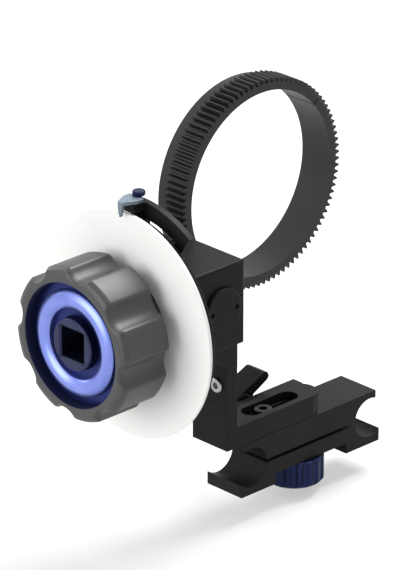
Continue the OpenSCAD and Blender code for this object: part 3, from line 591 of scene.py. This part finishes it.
def lobed_radius(angle):
    """Distance from the axis to the grip's side: round lobes, round corners and hollow scallops."""
    pitch = 2 * math.pi / SCALLOPS
    off = abs((angle - SCALLOP_TURN + pitch / 2) % pitch - pitch / 2)
    if off >= CORNER_LEAN:
        return GRIP_RADIUS
    corner_side = CORNER_MIDDLE * math.sin(CORNER_LEAN - off)
    corner = CORNER_MIDDLE * math.cos(CORNER_LEAN - off)
    corner += math.sqrt(max(LOBE_CORNER**2 - corner_side**2, 0))
    scallop_side = SCALLOP_MIDDLE * math.sin(off)
    if scallop_side >= SCALLOP_RADIUS:
        return corner
    scallop = SCALLOP_MIDDLE * math.cos(off) - math.sqrt(SCALLOP_RADIUS**2 - scallop_side**2)
    # Up to the angle where the two circles touch, the scallop is the one that counts.
    touch = SCALLOP_MIDDLE - CORNER_MIDDLE * math.cos(CORNER_LEAN)
    share = SCALLOP_RADIUS / (SCALLOP_RADIUS + LOBE_CORNER)
    touch_angle = math.atan2(
        CORNER_MIDDLE * math.sin(CORNER_LEAN) * share, SCALLOP_MIDDLE - touch * share
    )
    return corner if off > touch_angle else scallop


def build_grip():
    """The lobed grip: a turned blank, its side pressed in to the scallops and its rims following."""
    low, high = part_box("handwheel_grip")
    front, back = low.x, high.x
    seat = back - SPIGOT_LENGTH
    outline = [
        *((front + along * MM, GRIP_RADIUS - inwards * MM) for along, inwards in FRONT_RIM),
        *((seat - along * MM, GRIP_RADIUS - inwards * MM) for along, inwards in BACK_RIM),
        (seat, SPIGOT_RADIUS),
        (back, SPIGOT_RADIUS),
        (back, SHAFT_HOLE),
        (front + INSERT_END, SHAFT_HOLE),
        (front + INSERT_END, INSERT_HOLE),
        (front + RECESS_DEPTH, INSERT_HOLE),
        (front + RECESS_DEPTH, RECESS_RADIUS),
        (front, RECESS_RADIUS),
    ]
    shape = spun(outline, GRIP_ROUNDING, GRIP_STEPS)
    for vertex in shape.verts:
        y, z = vertex.co.y - KNOB_AXIS.y, vertex.co.z - KNOB_AXIS.z
        radius = math.hypot(y, z)
        if radius <= PRESSED_FROM:
            continue
        side = lobed_radius(math.atan2(z, y))
        share = (side - PRESSED_FROM) / (GRIP_RADIUS - PRESSED_FROM)
        scale = (PRESSED_FROM + (radius - PRESSED_FROM) * share) / radius
        vertex.co.y, vertex.co.z = KNOB_AXIS.y + y * scale, KNOB_AXIS.z + z * scale
    finished_piece(shape, "handwheel_grip", GRIP_SHARP_TURN)


# The blue ring's raised face, between its two grooves, and how far its crown stands over its sides.
FACE_INSIDE, FACE_OUTSIDE = 12.8 * MM, 19.2 * MM
FACE_RISE = 1.5 * MM
# Half the steps across the crown.
FACE_STEPS = 4
# The ring's thin base sits in the recess with a little room.
BASE_THICKNESS = 0.6 * MM
BASE_INSIDE = INSERT_HOLE + 0.03 * MM
BASE_OUTSIDE = RECESS_RADIUS - 0.04 * MM
RING_ROUNDING = 0.25 * MM
RING_STEPS = 192


def build_accent_ring():
    """The blue ring: a crowned face that stands between two deep grooves."""
    low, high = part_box("accent_ring")
    crest, back = low.x, high.x
    floor = back - BASE_THICKNESS
    middle, half = (FACE_INSIDE + FACE_OUTSIDE) / 2, (FACE_OUTSIDE - FACE_INSIDE) / 2
    crown = [
        (crest + FACE_RISE * (i / FACE_STEPS) ** 2, middle + half * i / FACE_STEPS)
        for i in range(-FACE_STEPS, FACE_STEPS + 1)
    ]
    outline = [
        (back, BASE_INSIDE), (floor, BASE_INSIDE), (floor, FACE_INSIDE),
        *crown,
        (floor, FACE_OUTSIDE), (floor, BASE_OUTSIDE), (back, BASE_OUTSIDE),
    ]
    finished_piece(spun(outline, RING_ROUNDING, RING_STEPS), "accent_ring", RING_SHARP_TURN)


# The clamp stud's thread: M6, with the depth and the flats of a metric thread.
STUD_RADIUS = 3.0 * MM
THREAD_PITCH = 1.0 * MM
THREAD_DEPTH = 0.61 * MM
# One turn of it: (share of the pitch, share of the depth).
THREAD_OUTLINE = ((0.0, 1), (0.25, 1), (0.5625, 0), (0.6875, 0), (1.0, 1))
# Steps round one turn of the helix.
THREAD_STEPS = 32
# The helix starts and ends one turn outside the stud, for the cuts to take off.
SPARE_TURNS = 2


def build_stud():
    """The stud: one turn of its thread's outline, wound up a helix and cut flat at both ends."""
    low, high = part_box("clamp_stud")
    turns = math.ceil((high.z - low.z) / THREAD_PITCH) + SPARE_TURNS
    shape = bmesh.new()
    corners = [
        shape.verts.new((
            CLAMP_AXIS.x + STUD_RADIUS - depth * THREAD_DEPTH,
            CLAMP_AXIS.y,
            low.z + (share - SPARE_TURNS / 2) * THREAD_PITCH,
        ))
        for share, depth in THREAD_OUTLINE
    ]
    for first, second in zip(corners, corners[1:]):
        shape.edges.new((first, second))
    bmesh.ops.spin(
        shape, geom=list(shape.verts) + list(shape.edges),
        cent=CLAMP_AXIS, axis=(0, 0, 1), dvec=(0, 0, THREAD_PITCH / THREAD_STEPS),
        angle=2 * math.pi * turns, steps=THREAD_STEPS * turns,
        use_merge=False, use_normal_flip=False, use_duplicate=False,
    )
    bmesh.ops.remove_doubles(shape, verts=shape.verts, dist=WELD)
    for end, outwards in ((low, (0, 0, -1)), (high, (0, 0, 1))):
        cut = bmesh.ops.bisect_plane(
            shape, geom=list(shape.verts) + list(shape.edges) + list(shape.faces),
            dist=WELD, plane_co=end, plane_no=outwards, clear_outer=True,
        )
        rim = [item for item in cut["geom_cut"] if isinstance(item, bmesh.types.BMEdge)]
        bmesh.ops.edgeloop_fill(shape, edges=rim)
    bmesh.ops.recalc_face_normals(shape, faces=shape.faces)
    finished_piece(shape, "clamp_stud", SHARP_TURN)


build_grip()
build_accent_ring()
build_stud()


# ---------------------------------------------------------------- stage and light

# Light from all round on the object. Where it is seen or mirrored, the studio is white.
STUDIO_LEVEL = 0.5
# The board goes over into the studio: its white share near the object, and where, in metres from
# the frame's Z axis, it starts to rise and ends at 1.
WHITE_NEAR = 0.45
WHITE_START, WHITE_END = 0.25, 1.1
# The jaw and its thumbscrew open 4 mm downwards, and stay clear of the floor.
FLOOR_GAP = 4.5 * MM
FLOOR_HALF_SIDE = 6.0
# What the soft boxes look at: the unit's middle, in metres.
LIGHT_AIM = Vector((0.0, 0.0, 0.06))


def studio_white(tree):
    """The studio's strength: 1 where the camera, a mirroring or a clear surface sees it."""
    path = add(tree, "ShaderNodeLightPath").outputs
    seen = path["Is Camera Ray"]
    for ray in ("Is Glossy Ray", "Is Transmission Ray"):
        seen = add(
            tree, "ShaderNodeMath", {"operation": "MAXIMUM"}, {0: seen, 1: path[ray]}
        ).outputs[0]
    strength = add(tree, "ShaderNodeMapRange", None, {"Value": seen, "To Min": STUDIO_LEVEL})
    return strength.outputs["Result"]


def build_floor():
    """A plain pale board under the thumbscrew, which goes over into the white studio round it."""
    shape = bmesh.new()
    bmesh.ops.create_grid(shape, x_segments=1, y_segments=1, size=FLOOR_HALF_SIDE)
    bmesh.ops.translate(shape, vec=(0, 0, cad_bounds[0][2] - FLOOR_GAP), verts=shape.verts)
    mesh = bpy.data.meshes.new("floor")
    shape.to_mesh(mesh)
    shape.free()
    floor = bpy.data.objects.new("floor", mesh)
    bpy.context.scene.collection.objects.link(floor)
    # Painted board, matte, pale grey: it takes the object's shadow without a shine.
    material, tree, shader = new_material(
        "floor_board", Roughness=0.9, Specular_IOR_Level=0.1, Base_Color=colour("#e9e9e8")
    )
    white = add(tree, "ShaderNodeEmission", None, {"Strength": studio_white(tree)})
    share = add(
        tree, "ShaderNodeMapRange", None,
        {
            "Value": distance_from(tree, (0, 0, 0), ROUND_Z),
            "From Min": WHITE_START, "From Max": WHITE_END, "To Min": WHITE_NEAR,
        },
    ).outputs["Result"]
    board = add(
        tree, "ShaderNodeMixShader", None,
        {0: share, 1: shader.outputs["BSDF"], 2: white.outputs["Emission"]},
    )
    output = next(item for item in tree.nodes if item.type == "OUTPUT_MATERIAL")
    tree.links.new(board.outputs["Shader"], output.inputs["Surface"])
    mesh.materials.append(material)


def soft_box(name, place, side, watts):
    """A soft box that looks at the object. Its place and its side are in metres."""
    data = bpy.data.lights.new(name, "AREA")
    data.size = side
    data.energy = watts
    light = bpy.data.objects.new(name, data)
    light.location = place
    light.rotation_mode = "QUATERNION"
    light.rotation_quaternion = (LIGHT_AIM - Vector(place)).to_track_quat("-Z", "Y")
    bpy.context.scene.collection.objects.link(light)


def build_light():
    """Soft light: from above for the tops, from the handwheel's side, and a weak one from behind."""
    soft_box("top_softbox", place=(0.7, 0.1, 1.3), side=0.9, watts=30)
    soft_box("front_softbox", place=(-1.6, 0.3, 0.5), side=1.4, watts=21)
    soft_box("back_softbox", place=(-0.2, 1.5, 0.7), side=0.9, watts=6)
    world = bpy.data.worlds.new("studio")
    world.use_nodes = True
    tree = world.node_tree
    tree.nodes.clear()
    background = add(
        tree, "ShaderNodeBackground", None,
        {"Color": (1, 1, 1, 1), "Strength": studio_white(tree)},
    )
    add(tree, "ShaderNodeOutputWorld", None, {"Surface": background.outputs["Background"]})
    bpy.context.scene.world = world


build_floor()
build_light()
bpy.context.scene.view_settings.view_transform = "Standard"
